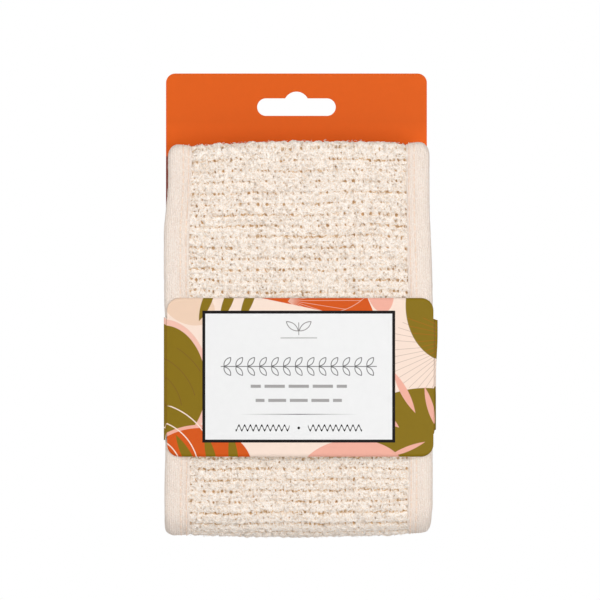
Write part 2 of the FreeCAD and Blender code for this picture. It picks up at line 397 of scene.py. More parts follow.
VIEW_SIDE = 0.2445  # how much of the card's plane the picture spans
CAMERA_AWAY = 2.5
CAMERA_LIFT = 0.0022  # above the middle of the object, as in the photo
FRONT_LIGHT, BACK_LIGHT = 1.0, 0.2  # of the surroundings, as they light the object
LAMP_AIM = (0, -0.02, -0.08)
LAMPS = (("key", 4.2, 0.7, (-0.55, -0.95, 0.75)), ("fill", 4.4, 0.5, (0.4, -0.9, -0.27)),
         ("back", 4.0, 0.9, (0.2, 1.1, 0.6)))  # name, watts, size, place
FLOOR_HALF, FLOOR_Z = 1.2, -0.335


def camera():
    low, high = (Vector(corner) for corner in cad_bounds)
    centre = (low + high) / 2
    data = bpy.data.cameras.new("camera")
    data.sensor_width = 36.0
    data.lens = data.sensor_width * CAMERA_AWAY / VIEW_SIDE
    data.clip_end = 50.0
    eye = bpy.data.objects.new("camera", data)
    eye.location = (centre.x, -CAMERA_AWAY, centre.z + CAMERA_LIFT)
    eye.rotation_euler = (math.pi / 2, 0, 0)
    bpy.context.scene.collection.objects.link(eye)
    bpy.context.scene.camera = eye


def studio():
    """White surroundings, brighter in front, and soft lamps above left, below right and behind."""
    scene = bpy.context.scene
    scene.view_settings.view_transform = "Standard"
    world = bpy.data.worlds.new("studio")
    world.use_nodes = True
    nodes, links = world.node_tree.nodes, world.node_tree.links
    background = nodes["Background"]
    way = nodes.new("ShaderNodeSeparateXYZ")
    links.new(nodes.new("ShaderNodeTexCoord").outputs["Generated"], way.inputs[0])
    front = nodes.new("ShaderNodeMapRange")
    for socket, value in (("From Min", -1.0), ("From Max", 0.35), ("To Min", FRONT_LIGHT),
                          ("To Max", BACK_LIGHT)):
        front.inputs[socket].default_value = value
    links.new(way.outputs["Y"], front.inputs["Value"])
    level = nodes.new("ShaderNodeMix")
    links.new(nodes.new("ShaderNodeLightPath").outputs["Is Camera Ray"], level.inputs[0])
    links.new(front.outputs["Result"], level.inputs[2])
    level.inputs[3].default_value = 1.0
    links.new(level.outputs[0], background.inputs["Strength"])
    background.inputs["Color"].default_value = (1, 1, 1, 1)
    scene.world = world
    for name, energy, size, place_of in LAMPS:
        data = bpy.data.lights.new(name, "AREA")
        data.energy, data.size = energy, size
        light = bpy.data.objects.new(name, data)
        light.location = place_of
        light.rotation_euler = (Vector(LAMP_AIM) - Vector(place_of)).to_track_quat("-Z", "Y").to_euler()
        scene.collection.objects.link(light)
    floor = bpy.data.meshes.new("floor")
    corners = [(x * FLOOR_HALF, y * FLOOR_HALF, FLOOR_Z) for x, y in ((-1, -1), (1, -1), (1, 1), (-1, 1))]
    floor.from_pydata(corners, [], [(0, 1, 2, 3)])
    shader = Shader("floor", 0.9)
    shade = shader.noise(shader.coordinates(), 14.0)
    shader.give("Base Color", shader.mix(shade, (0.86, 0.86, 0.86, 1), (0.9, 0.9, 0.9, 1)))
    floor.materials.append(shader.material)
    stage = bpy.data.objects.new("floor", floor)
    scene.collection.objects.link(stage)


# ---- materials ----


def noisy(name, roughness, grain, first, second, relief, **plain):
    """A material that varies between two colours, given as 0 to 255, and is raised by the same noise."""
    shader = Shader(name, roughness, **plain)
    share = shader.noise(shader.coordinates(), *grain)
    shader.tones(share, first, second)
    shader.bump(share, relief)
    return shader.material


def yarn_material():
    """Undyed slubby yarn: fine fibres round it, pale where it stands up, with painted shade that turns it tan
    where it lies low, in the holes and valleys.
    """
    shader = Shader("yarn", 0.95, Sheen_Weight=0.1, Sheen_Roughness=0.6)
    place_in = shader.coordinates()
    depth = shader.attribute("depth")
    streak = shader.noise(place_in, 1300.0, 3.0, 0.7)
    patch = shader.noise(place_in, 60.0, 2.0)
    # painted shade: from the depth attribute, yarn that lies low turns tan and yarn a little higher a darker
    # cream
    painted_shade_share = (depth * 4.2 + (streak - 0.5) * 0.4).clamped(-0.35)
    high = (depth * 2.4 + (streak - 0.5) * 0.9).clamped(-0.25)
    speck = (shader.noise(place_in, 1700.0, 2.0, 0.8) * 10.0).clamped(-5.0)
    pale = shader.mix(patch, linear(253, 245, 237), linear(250, 240, 230))
    pale = shader.mix(speck, pale, linear(236, 213, 189))
    # painted shade: a darker cream where the yarn lies a little low
    pale = shader.mix(high, linear(242, 222, 200), pale)
    shader.give("Base Color", shader.mix(painted_shade_share, linear(214, 174, 126), pale))
    shader.bump(shader.noise(place_in, 2600.0, 2.0, 0.8) + shader.noise(place_in, 900.0), 0.0003)
    return shader.material


def tape_material():
    """Brushed cotton tape with fine ribs along it."""
    shader = Shader("tape", 0.95, Sheen_Weight=0.12, Sheen_Roughness=0.5)
    place_in = shader.coordinates()
    across, along, _ = shader.split(shader.coordinates("cloth"))
    fuzz = shader.noise(place_in, 1500.0, 4.0, 0.75)
    ribs = (across * (math.tau / 0.95) + (shader.noise(place_in, 70.0) - 0.5) * 6.0).sine()
    loops = (along * (math.tau / 0.6) + across * 4.0).sine()
    patch = shader.noise(place_in, 45.0, 3.0)
    pale = shader.mix(patch, linear(253, 243, 234), linear(249, 235, 224))
    worn = ((fuzz - 0.3) * 2.2 + ribs * 0.14).clamped(0.2)
    shader.give("Base Color", shader.mix(worn, linear(236, 214, 196), pale))
    shader.bump(fuzz * 1.3 + ribs * 0.2 + loops * 0.1, 0.0004)
    return shader.material


def webbing_material():
    """Plain-woven cotton webbing: ribs across it, yarns along it."""
    shader = Shader("webbing", 0.9, Sheen_Weight=0.2)
    across, along, _ = shader.split(shader.coordinates("cloth"))
    ribs = (along * (math.tau / 1.1) + (across * (math.tau / 1.6)).sine() * 1.2).sine()
    yarns = (across * (math.tau / 0.8)).sine()
    weave = ribs * 0.5 + yarns * 0.5
    fuzz = shader.noise(shader.coordinates(), 1600.0, 3.0, 0.7)
    share = (weave * 0.3 + fuzz).clamped()
    shader.tones(share, (214, 194, 170), (243, 232, 216))
    shader.bump(weave + fuzz * 0.6, 0.00025)
    return shader.material


# ---- the knitted panel ----

STITCH = 3.55  # from one stitch to the next, across the strap
COURSE = 2.233  # from one course to the next, along it. Two courses make a ridge.
LOOP_HEIGHT = 1.75 * COURSE
YARN_SWING = 0.36  # how far the yarn goes in and out of the panel
LEG_DEPTH = 0.15  # how far each loop's legs sink between its ends
N_YARN = N_KNIT - 0.85  # middle of the yarn's swing
X_FIRST = LEFT + BINDING - 1.6
FRONT_YARN = (14, 5, 3, 0.31)  # points a stitch, sides, strands and radius where the yarn shows
REAR_YARN = (12, 6, 1, 0.80)  # and where it faces the card
STITCHES = int((RIGHT - LEFT - 2 * BINDING + 3.2) / STITCH) + 1
S_VALLEY = S_FRONT + TOP_TURN - (STRAP_HIGH[2] - 4.3) + 1.5 * COURSE  # a valley between two ridges
FIRST_COURSE = -int((S_FRONT - S_TOP_TURN + 18) / COURSE)
FRONT_COURSES = int((S_LOW_TURN - S_FRONT) / COURSE) + 7
LAST_COURSE = int((LENGTH - S_FRONT - 8) / COURSE)


def drag(x, s):
    """How far the courses are pulled along the strap, so that the ridges aren't ruler straight."""
    return (0.32 * np.sin(x / 13 + s / 41) + 0.24 * np.sin(x / 6.1 - s / 17 + 1.3)
            + 0.20 * np.sin(s / 9.5 + x / 21) + 0.12 * np.sin(x / 2.9 + s / 5.3))


def lay(x, s, n):
    """place for the knit, whose courses are pulled about."""
    return place(x, s + drag(x, s), n)


def valley_offset(x, s):
    """Distance along the strap to the nearest valley, whose line runs in scallops round the stitches."""
    scallop = 0.30 * np.cos(math.tau * (x - X_FIRST) / STITCH)
    along = (s + scallop - S_VALLEY) / (2 * COURSE)
    return np.abs(along - np.round(along)) * 2 * COURSE


class Holes:
    """The small holes of the knit: two a stitch in each valley, finer ones on each ridge, some closed."""

    def __init__(self, rng):
        rows = LAST_COURSE - FIRST_COURSE + 24
        self.first = FIRST_COURSE - 8
        shape = (rows, 2 * STITCHES + 4)
        self.x_stray = rng.normal(0, 0.22, shape)
        self.s_stray = rng.normal(0, 0.17, shape) + 0.22 * wobble(rng, shape, (1, 9))
        valley = np.arange(self.first, self.first + rows)[:, None] % 2 == 0
        large = (np.arange(shape[1])[None] + np.where(valley, 0, 1)) % 2 == 0
        share = np.clip(0.88 + 0.20 * wobble(rng, shape, (1, 9)) + rng.normal(0, 0.14, shape), 0, 1.2)

        def kinds(in_valley, on_ridge):
            """A value for the large holes and one for the small ones, in the valleys and on the ridges."""
            return np.where(valley, np.where(large, *in_valley), np.where(large, *on_ridge))

        closed = rng.uniform(size=shape) < kinds((0.05, 0.72), (0.35, 0.7))
        self.radius = np.where(closed, 0.0, kinds((0.58, 0.36), (0.36, 0.28)) * share)
        self.groove = np.where(valley, np.clip(0.28 + 0.75 * wobble(rng, shape, (1, 9)), 0, 1), 0)

    def near(self, x, s):
        """The offset from the nearest hole's middle, its radius, and how open the valley is there."""
        row = np.round((s - S_VALLEY) / COURSE).astype(int)
        column = np.round((x - X_FIRST) / (STITCH / 2) - 0.5).astype(int)
        i = np.clip(row - self.first, 0, len(self.radius) - 1)
        j = np.clip(column, 0, self.radius.shape[1] - 1)
        dx = x - (X_FIRST + STITCH / 2 * (column + 0.5) + self.x_stray[i, j])
        ds = s - (S_VALLEY + row * COURSE + self.s_stray[i, j])
        worn = 0.85 + 0.15 * smooth(S_FRONT - 2, S_FRONT + 30, s)
        low = smooth(S_LOW_TURN - 80, S_LOW_TURN - 40, s)
        groove = np.clip(self.groove[i, j] * worn + 0.40 * low, 0, 1)
        return dx, ds, self.radius[i, j] * (worn - 0.06 * low), groove

    def painted_shade(self, x, s):
        """How much lower the yarn's colour depth is set beside a hole and along a valley, in mm: painted
        shade in the holes and valleys.
        """
        dx, ds, hole, groove = self.near(x, s)
        rim = np.maximum(np.hypot(dx, ds) - hole, 0) + np.where(hole > 0, 0, 9)
        return 1.3 * bell(rim, 0.20) + 1.15 * groove * bell(valley_offset(x, s), 0.22)


def knit_courses(first, last, rings, rng):
    """Centre lines of garter stitch courses, as x, s and n arrays of shape (course, point)."""
    course = np.arange(first, last)[:, None]
    turn = np.arange(STITCHES * rings + 1)[None] * (math.tau / rings)
    shape = (last - first, turn.shape[1])
    stray_x = 0.30 * wobble(rng, shape, (1, rings * 0.5)) + 0.30 * wobble(rng, shape, (3, rings * 3))
    stray_s = 0.30 * wobble(rng, shape, (1, rings * 0.6)) + 0.35 * wobble(rng, shape, (4, rings * 5))
    stray_n = 0.10 * wobble(rng, shape, (1, rings * 0.5))
    x = X_FIRST + STITCH * (turn / (math.tau) + 0.13 * np.sin(2 * turn)) + stray_x
    s = S_VALLEY + (course - 1.5) * COURSE - LOOP_HEIGHT * np.cos(turn) / 2 + stray_s
    knit = np.where(course % 2 == 0, 1.0, -1.0)
    n = N_YARN - YARN_SWING * knit * np.cos(turn) - LEG_DEPTH * np.sin(turn) ** 2 + stray_n
    return x, s, n


def twisted(x, s, n, strands, spread, rings, rng):
    """Each yarn's strands: they twist round its centre line and wander. The yarns come first in the shape."""
    turn = np.arange(x.shape[1])[None] * (math.tau / rings) * 1.3
    parts = []
    for i in range(strands):
        phase = turn + math.tau * i / strands + rng.uniform(0, 6.3, (x.shape[0], 1))
        loose = spread * (1 + 0.5 * wobble(rng, x.shape, (1, rings * 0.4)))
        stray = [0.20 * wobble(rng, x.shape, (1, 2.0)) for _ in range(3)]
        parts.append((x + 0.8 * loose * np.sin(phase + 1.0) + stray[0], s + loose * np.sin(phase) + stray[1],
                      n + loose * np.cos(phase) + stray[2]))
    return [np.stack(values, 1).reshape(-1, x.shape[1]) for values in zip(*parts, strict=True)]


def knit_yarn(material, holes):
    """The yarn of the visible runs, in a few pieces: three loose strands in front, one behind."""
    rng = np.random.default_rng(7)
    step = (FRONT_COURSES - FIRST_COURSE) // 5 + 1
    middle = (FRONT_COURSES + LAST_COURSE) // 2
    ends = [*range(FIRST_COURSE, FRONT_COURSES, step), FRONT_COURSES, middle, LAST_COURSE]
    pieces = []
    for i, (low, high) in enumerate(itertools.pairwise(ends)):
        rings, sides, strands, thick = FRONT_YARN if high <= FRONT_COURSES else REAR_YARN
        x, s, n = knit_courses(low, high, rings, rng)
        if strands > 1:
            x, s, n = twisted(x, s, n, strands, 0.38, rings, rng)
        dx, ds, hole, _ = holes.near(x, s)
        away = np.hypot(dx, ds) + 1e-6
        push = np.maximum(np.where(hole > 0, hole + 1.2 * thick, 0) - away, 0) / away
        x, s = x + dx * push, s + ds * push
        n = np.minimum(n, N_TAPE - 0.02 - thick)
        paths = lay(x, s, n)
        up = lay(x, s, n + 1.0) - paths
        size = 1 + 0.25 * wobble(rng, x.shape, (1, rings * 0.7)) + 0.12 * wobble(rng, x.shape, (1, 2))
        angle = np.arange(sides) * math.tau / sides
        radius = (thick * size)[..., None] * (1 + rng.normal(0, 0.05, (*x.shape, sides)))
        points, quads = tubes(paths, radius, sides, up)
        piece = new_mesh(f"knit_yarn_{i + 1}", points, quads, [material], fixed=True)
        # colour depth for the painted shade, lowered beside the holes and along the valleys
        give_painted_shade_depth(piece, (n - holes.painted_shade(x, s))[..., None] + radius * np.cos(angle))
        pieces.append(piece)
    return pieces


def give_painted_shade_depth(piece, level):
    """Stores how near each point lies to the knit's face, 0 at the bottom and 1 on top, as the depth from
    which the yarn material paints shade.
    """
    depth = np.clip((level - (N_YARN - 0.45)) / 1.55, 0, 1)
    layer = piece.data.attributes.new("depth", "FLOAT", "POINT")
    layer.data.foreach_set("value", depth.astype(np.float32).ravel())


def knit_fill(name, s_low, s_high, step, material, holes):
    """The fuzz between the strands: ridges and purl bumps, with a pit at each hole."""
    rng = np.random.default_rng(5)
    rows = int((s_high - s_low) / step)
    columns = int((RIGHT - LEFT - 2 * BINDING + 2.4) / step)
    s = np.linspace(s_low, s_high, rows)[:, None]
    x = np.linspace(LEFT + BINDING - 1.2, RIGHT - BINDING + 1.2, columns)[None]
    x, s = np.broadcast_arrays(x, s)
    dx, ds, hole, groove = holes.near(x, s)
    along = (s - S_VALLEY) / (2 * COURSE)
    ridge = 1.0 - 2.0 * np.cos(math.pi * along) ** 6
    bumps = np.cos(math.tau * ((x - X_FIRST) / STITCH - 0.25 + 0.25 * np.sin(math.pi * along)))
    level = N_YARN + 0.58 + 0.12 * ridge + 0.08 * bumps
    level += 0.11 * wobble(rng, x.shape, (2, 2)) + 0.07 * rng.normal(0, 0.6, x.shape)
    crown = bell(s - (S_TOP_TURN + S_FRONT) / 2, 4)
    level += 0.8 * crown * np.clip(wobble(rng, x.shape, (8, 5)), -0.5, 0.8)
    level -= 2.8 * np.clip(wobble(rng, x.shape, (1.7, 1.9)) - 0.46, 0, 1)
    level -= 0.50 * groove * bell(valley_offset(x, s), 0.27)
    beside = np.minimum(x - LEFT, RIGHT - x) - BINDING
    gap = np.clip(0.5 + wobble(rng, x.shape, (4, 40)), 0, 1)
    level -= 0.7 * gap * bell(beside - 0.5, 0.4)
    pit = np.exp(-((np.hypot(dx * 0.9, ds * 1.1) / np.maximum(hole, 0.05)) ** 4))
    level -= 1.3 * pit
    level = np.maximum(level, N_YARN - 0.9)
    piece = new_mesh(name, lay(x, s, level), grid_quads(rows, columns), [material], fixed=True)
    # colour depth for the painted shade, lowered beside the holes and along the valleys
    give_painted_shade_depth(piece, level - 0.5 * holes.painted_shade(x, s))
    return piece


FUZZ_REACH, FUZZ_RADIUS = 1.35, 0.07


def fibres(name, x, s, n, material, rng, holes):
    """Short stray fibres that lie curled on the cloth, starting at x, s and n."""
    heading = rng.uniform(0, math.tau, x.shape)
    curl = rng.uniform(-4.0, 4.0, x.shape)
    length = FUZZ_REACH * rng.uniform(0.5, 1.3, x.shape)
    hump = rng.uniform(0.1, 0.55, x.shape)
    steps = np.linspace(0, 1, 4)[None]
    turn = heading[:, None] + curl[:, None] * steps
    px = x[:, None] + length[:, None] * steps * np.cos(turn)
    ps = s[:, None] + length[:, None] * steps * np.sin(turn)
    pn = n[:, None] + hump[:, None] * np.sin(steps * 2.4)
    paths = place(px, ps, pn)
    points, quads = tubes(paths, FUZZ_RADIUS, 3, place(px, ps, pn + 1.0) - paths)
    piece = new_mesh(name, points, quads, [material], fixed=True)
    # colour depth for the painted shade, lowered over the holes and along the valleys
    give_painted_shade_depth(piece, np.repeat(N_KNIT - holes.painted_shade(px, ps), 3))
    return piece


def knit_fuzz(material, holes):
    rng = np.random.default_rng(31)
    pieces = []
    split = S_LOW_TURN + 14
    ranges = (S_TOP_TURN, split, 11500, 0.0), (split, LENGTH - 12, 5000, 0.65)
    for i, (low, high, count, sunk) in enumerate(ranges):
        x = rng.uniform(LEFT + BINDING + 0.5, RIGHT - BINDING - 0.5, count)
        s = rng.uniform(low, high, count)
        dx, ds, hole, _ = holes.near(x, s)
        clear = np.hypot(dx, ds) > hole + np.where(hole > 0, 0.5, 0)
        x, s = x[clear], s[clear]
        n = rng.uniform(N_YARN + 0.3, N_KNIT + 0.2, x.shape) - sunk
        pieces.append(fibres(f"knit_fuzz_{i + 1}", x, s, n, material, rng, holes))
    return pieces


def cloth_sheet(name, n, material, replaced, thick):
    """One panel of the strap as a sheet along the whole fold."""
    rows, columns = int((LENGTH - 8) / 2.0), 64
    s = np.linspace(4.0, LENGTH - 4.0, rows)[:, None]
    x = np.linspace(LEFT + 1.2, RIGHT - 1.2, columns)[None]
    quads = grid_quads(rows, columns)
    piece = new_mesh(name, place(x, s, n), quads, [material], (replaced,), (x, s), fixed=True)
    solid = piece.modifiers.new("thickness", "SOLIDIFY")
    solid.thickness, solid.offset = thick / 1000, 0.0
    return piece


# ---- bindings, threads and hems ----

TAPE_SECTION = (
    (10.0, 1.15), (9.95, 1.60), (9.6, 1.84), (8.8, 1.76), (7.8, 1.94), (6.6, 1.86), (5.4, 2.10),
    (3.9, 2.18), (2.6, 2.02), (1.5, 1.66), (0.7, 1.15), (0.2, 0.6), (0.0, 0.0),
)                            # across from the outer edge, and n, on the knitted side


def round_section(half):
    """61 evenly spaced points round a tape's section: how far along it, across, and n."""
    half = np.array(half)
    whole = np.concatenate([half, (half * (1, -1))[-2::-1]])
    run = run_along(whole)
    at = np.linspace(0, run[-1], 61)
    return at, np.interp(at, run, whole[:, 0]), np.interp(at, run, whole[:, 1])


END_TUCK = ((0.05, 0.0), (0.1, 0.6), (0.22, 0.88))  # s and share of the thickness where a binding ends


def binding(side, material):
    _, across, up = round_section(TAPE_SECTION)
    edge, inward = SIDE_EDGES[side]
    rng = np.random.default_rng(11 if side == "left" else 12)
    rows = int(LENGTH / 0.9)
    shape = (rows, len(across))
    reach = across + 0.12 * wobble(rng, shape, (2, 3))
    reach = reach + np.where(across > 8, 0.35, 0.0) * wobble(rng, (rows, 1), (9, 1))
    level = up * (1 + 0.05 * wobble(rng, shape, (7, 6)) + 0.04 * wobble(rng, shape, (2, 2)))
    near = np.array([at for at, _ in END_TUCK])
    s = np.concatenate([near, np.linspace(0.4, LENGTH - 0.4, rows), LENGTH - near[::-1]])[:, None]
    tucked = [part for _, part in END_TUCK]
    share = np.array([*tucked, *[1.0] * rows, *tucked[::-1]])[:, None]
    extra = ((len(near), len(near)), (0, 0))
    x = np.pad(edge + inward * np.maximum(reach, 0.0), extra, mode="edge")
    points = place(x, s, np.clip(np.pad(level, extra, mode="edge") * share, -N_TAPE, N_TAPE))
    around = np.linspace(0, 24.0, len(across))[None]
    quads = grid_quads(len(s), len(across), closed=True)
    return new_mesh(f"{side}_binding_tape", points, quads, [material], (f"{side}_edge_binding",), (around, s))


def stitches(name, sewn, material, node, radius=0.2, lift=0.24, rings=7):
    """Sewing stitches as short arched tubes. sewn holds each one's x, s, n, and its run in x and in s."""
    t = np.linspace(0, 1, rings)[None]
    x, s, n, along_x, along_s = np.array(sewn, float).T[..., None]
    x, s, side = x + along_x * t, s + along_s * t, np.sign(n)
    arch = (np.sin(t * math.pi) ** 0.6) * lift - lift * 0.6
    paths = place(x, s, n + side * arch)
    up = (place(x, s, n + 1.0) - paths) * side[..., None]
    points, quads = tubes(paths, radius, 6, up)
    return new_mesh(name, points, quads, [material], (node,), fixed=True)


def binding_stitches(side, material):
    """Two rows of stitches along one binding, on the knitted and on the soft side."""
    edge, inward = SIDE_EDGES[side]
    sewn = [(edge + inward * (BINDING - back), s, n, 0.0, SEW_LENGTH)
            for n in (1.93, -1.93) for back in (1.2, 3.4)
            for s in np.arange(6.0 + back, LENGTH - 8, SEW_PITCH)]
    return stitches(f"{side}_binding_stitches", sewn, material, f"{side}_binding_thread")


HEM_SECTION = ((12.0, 1.2), (11.9, 1.75), (11.0, 1.95), (9.8, 1.82), (8.4, 1.95), (6.8, 1.85), (4.5, 2.1),
               (2.0, 2.1), (0.9, 1.8), (0.3, 1.1), (0.05, 0.0))  # back from the strap's end, and n


def hem(end, material):
    """The tape over one end of the strap, between the bindings."""
    at, back, n = round_section(HEM_SECTION)
    x = np.linspace(LEFT + BINDING - 0.8, RIGHT - BINDING + 0.8, 130)[:, None]
    rng = np.random.default_rng(21 if end == "inner" else 22)
    shape = (len(x), len(at))
    back = back[None] + 0.25 * wobble(rng, (len(x), 1), (8, 1)) + 0.08 * wobble(rng, shape, (2, 2))
    n = np.clip(n[None] * (1 + 0.05 * wobble(rng, shape, (3, 3))), -N_TAPE, N_TAPE)
    s_end, way, _ = ENDS[end]
    points, quads = place(x, s_end + way * back, n), grid_quads(len(x), len(at), closed=True)
    return new_mesh(f"{end}_hem_tape", points, quads, [material], (f"{end}_end_hem",), (at[None], x))


def hem_stitches(end, material):
    s_end, way, _ = ENDS[end]
    sewn = [(x, s_end + way * back, n, SEW_LENGTH - 0.2, 0.0) for n in (1.95, -1.95) for back in (10.8, 8.6)
            for x in np.arange(LEFT + BINDING + 0.5, RIGHT - BINDING - 3.0, SEW_PITCH)]
    return stitches(f"{end}_hem_stitches", sewn, material, f"{end}_hem_thread")


def bar_tacks(end, material):
    """Dense zigzag bars that hold the hand loop's ends in the hem."""
    s_end, way, _ = ENDS[end]
    sewn = [(x, s_end + way * (back - lean), n, 0.4, way * 2 * lean)
            for n in (2.1, -2.1) for back in (1.5, 4.5)
            for x, lean in zip(np.arange(MIDDLE - 11.0, MIDDLE + 11.0, 0.45), itertools.cycle((0.45, -0.45)))]
    return stitches(f"{end}_bar_tack_stitches", sewn, material, f"{end}_loop_bar_tacks", 0.17, 0.16, 5)


def hand_loop(end, material):
    """A webbing loop whose ends are in the hem, turned over to hang in front of that run."""
    node, y_hem = f"{end}_hand_loop", ENDS[end][2]
    low = node_box(node)[0]
    thick, spacing = 1.1, 1.3
    half = spacing / 2
    middle = low[1] + half + thick / 2
    drop, turn = low[2] + half + thick / 2, ENDS_TOP + 1.0
    parts, length = folded((
        (y_hem - half, ENDS_TOP - 6.0, turn), (middle + half, turn, drop),
        (middle - half, drop, turn), (y_hem + half, turn, ENDS_TOP - 6.0),
    ))
    edge = np.linspace(0, math.tau, 48, endpoint=False)
    across = np.sign(np.cos(edge)) * np.abs(np.cos(edge)) ** 0.25 * 12.45
    level = np.sign(np.sin(edge)) * np.abs(np.sin(edge)) ** 0.5 * thick / 2
    s = np.linspace(0, length, int(length / 0.5))[:, None]
    ribs = 0.035 * np.sin(s * math.tau / 1.5)
    points = place(MIDDLE + across[None], s, level[None] * (0.92 + ribs), parts)
    quads = grid_quads(len(s), len(edge), closed=True)
    piece = new_mesh(f"{end}_webbing_loop", points, quads, [material], (node,), (across[None], s))
    return piece


# ---- packaging ----

PANEL_LEFT, PANEL_RIGHT = -52.2, 55.3  # front label panel
PANEL_CORNER = 5.0
SIDES_FROM = -24.0  # y at which the band's sides begin, behind its front
BOARD = 0.4  # its thickness
CREASE = 0.9  # outside of a folded corner
FLAP_END = 12.0  # how far each back flap runs past the card's middle
RAISED = 0.5  # how far up the band has ridden
ART_X, ART_Z = (PANEL_LEFT + PANEL_RIGHT) / 2, (BAND_LOW[2] + BAND_HIGH[2]) / 2


def band_line():
    """The band's outer face seen from above: u along it, which is x on the front panel, then x and y."""
    front, left, right = BAND_LOW[1], BAND_LOW[0], BAND_HIGH[0]
    right_flap = BAND_HIGH[1]
    left_flap = right_flap - BOARD - 0.1
    corners = [(FLAP_END, left_flap), (left, left_flap), (left, front), (right, front), (right, right_flap),
               (-FLAP_END, right_flap)]
    points = [np.array(corners[0], float)]
    for before, corner, after in zip(corners, corners[1:], corners[2:], strict=False):
        before, corner, after = (np.array(c, float) for c in (before, corner, after))
        to_before = (before - corner) / np.linalg.norm(before - corner)
        to_after = (after - corner) / np.linalg.norm(after - corner)
        centre = corner + (to_before + to_after) * CREASE
        for angle in np.linspace(0, math.pi / 2, 7):
            points.append(centre - to_after * CREASE * math.cos(angle) - to_before * CREASE * math.sin(angle))
    points.append(np.array(corners[-1], float))
    points = np.array(points)
    u = run_along(points)
    at_front = (np.abs(points[:, 1] - front) < 1e-6) & (points[:, 0] < 0)
    u += points[at_front][0, 0] - u[at_front][0]
    return u, points


def lift_straps(z, left, right):
    """The side straps' own heights: the left one is cut a little taller than the right one."""
    middle = (SIDES_TOP + SIDES_BOTTOM) / 2
    return z + left * ((z - middle) * 0.065 - 0.9) + right * ((z - middle) * -0.045 + 0.6)


def belly_band(printed, plain, core):
    """The folded sleeve, as one sheet of board with its wings, creases and overlapping flaps."""
    line_u, line = band_line()
    bend = PANEL_CORNER * (1 - np.cos(np.linspace(0, math.pi / 2, 9)))
    u = np.unique(np.round(np.concatenate([
        line_u, np.arange(line_u[0], line_u[-1], 2.0), PANEL_LEFT + bend, PANEL_RIGHT - bend]), 4))
    z = np.linspace(SIDES_BOTTOM, SIDES_TOP, 26)
    columns, rows = len(u), len(z)
    grid_u, grid_z = np.meshgrid(u, z)
    quads = [grid_quads(rows, columns)]
    flat = [np.stack([grid_u, grid_z], -1).reshape(-1, 2)]
    panel = np.flatnonzero((u >= PANEL_LEFT - 1e-6) & (u <= PANEL_RIGHT + 1e-6))
    inset = np.minimum(u[panel] - PANEL_LEFT, PANEL_RIGHT - u[panel]).clip(0, PANEL_CORNER)
    cut = PANEL_CORNER - np.sqrt(PANEL_CORNER**2 - (PANEL_CORNER - inset) ** 2)
    count = rows * columns
    steps = 6
    for edge_row, z_edge, z_far in ((rows - 1, SIDES_TOP, BAND_HIGH[2] - cut),
                                    (0, SIDES_BOTTOM, BAND_LOW[2] + cut)):
        index = np.zeros((steps + 1, len(panel)), int)
        index[0] = edge_row * columns + panel
        index[1:] = count + np.arange(steps * len(panel)).reshape(steps, -1)
        share = np.arange(1, steps + 1)[:, None] / steps
        wing_z = z_edge + (z_far[None] - z_edge) * share
        wing_u = np.broadcast_to(u[panel][None], wing_z.shape)
        flat.append(np.stack([wing_u, wing_z], -1).reshape(-1, 2))
        wing = index.ravel()[grid_quads(steps + 1, len(panel))]
        quads.append(wing if edge_row else wing[:, ::-1])
        count += steps * len(panel)
    flat, quads = np.concatenate(flat), np.concatenate(quads)
    x = np.interp(flat[:, 0], line_u, line[:, 0])
    y = np.interp(flat[:, 0], line_u, line[:, 1])
    on_front = smooth(SIDES_FROM, SIDES_FROM - 1.0, y)
    across = (x - ART_X) / (PANEL_RIGHT - PANEL_LEFT) * 2
    up = (flat[:, 1] - ART_Z) / (BAND_HIGH[2] - BAND_LOW[2]) * 2
    swell = 0.55 * np.clip(1 - across**2, 0, 1) + 0.25 * up**4 * np.clip(1.1 - np.abs(across), 0, 1)
    y = y - on_front * swell
    back = smooth(SIDES_FROM, -6.0, y)
    beside = smooth(PANEL_LEFT + 0.3, PANEL_LEFT - 1.0, x) + smooth(PANEL_RIGHT, PANEL_RIGHT + 1.0, x)
    y = y + on_front * 0.35 * beside
    right = smooth(PANEL_RIGHT, PANEL_RIGHT + 1.2, x)
    flare = -0.5 + 0.8 * smooth(-0.1, 0.55, up)
    x = x + (1 - back) * (right * flare + smooth(PANEL_LEFT - 0.4, PANEL_LEFT - 1.4, x) * 0.3)
    z = lift_straps(flat[:, 1], smooth(PANEL_LEFT - 0.2, PANEL_LEFT - 1.0, flat[:, 0]),
                    smooth(PANEL_RIGHT + 0.2, PANEL_RIGHT + 1.0, flat[:, 0])) + RAISED
    piece = new_mesh("belly_band_board", np.stack([x, y, z], -1), quads, [printed, plain, core],
                     ("belly_band",), flat.T, fixed=True, body="package")
    solid = piece.modifiers.new("board", "SOLIDIFY")
    solid.thickness, solid.offset = BOARD / 1000, -1.0
    solid.material_offset, solid.material_offset_rim = 1, 2
    return piece


# ---- print ----

OLIVE, CREAM, PINK = linear(129, 105, 8), linear(237, 215, 200), linear(230, 168, 150)
ORANGE, TAN, BROWN = linear(203, 82, 14), linear(228, 198, 174), linear(112, 70, 34)


def hypotenuse(x, y):
    return (x * x + y * y).math("SQRT")


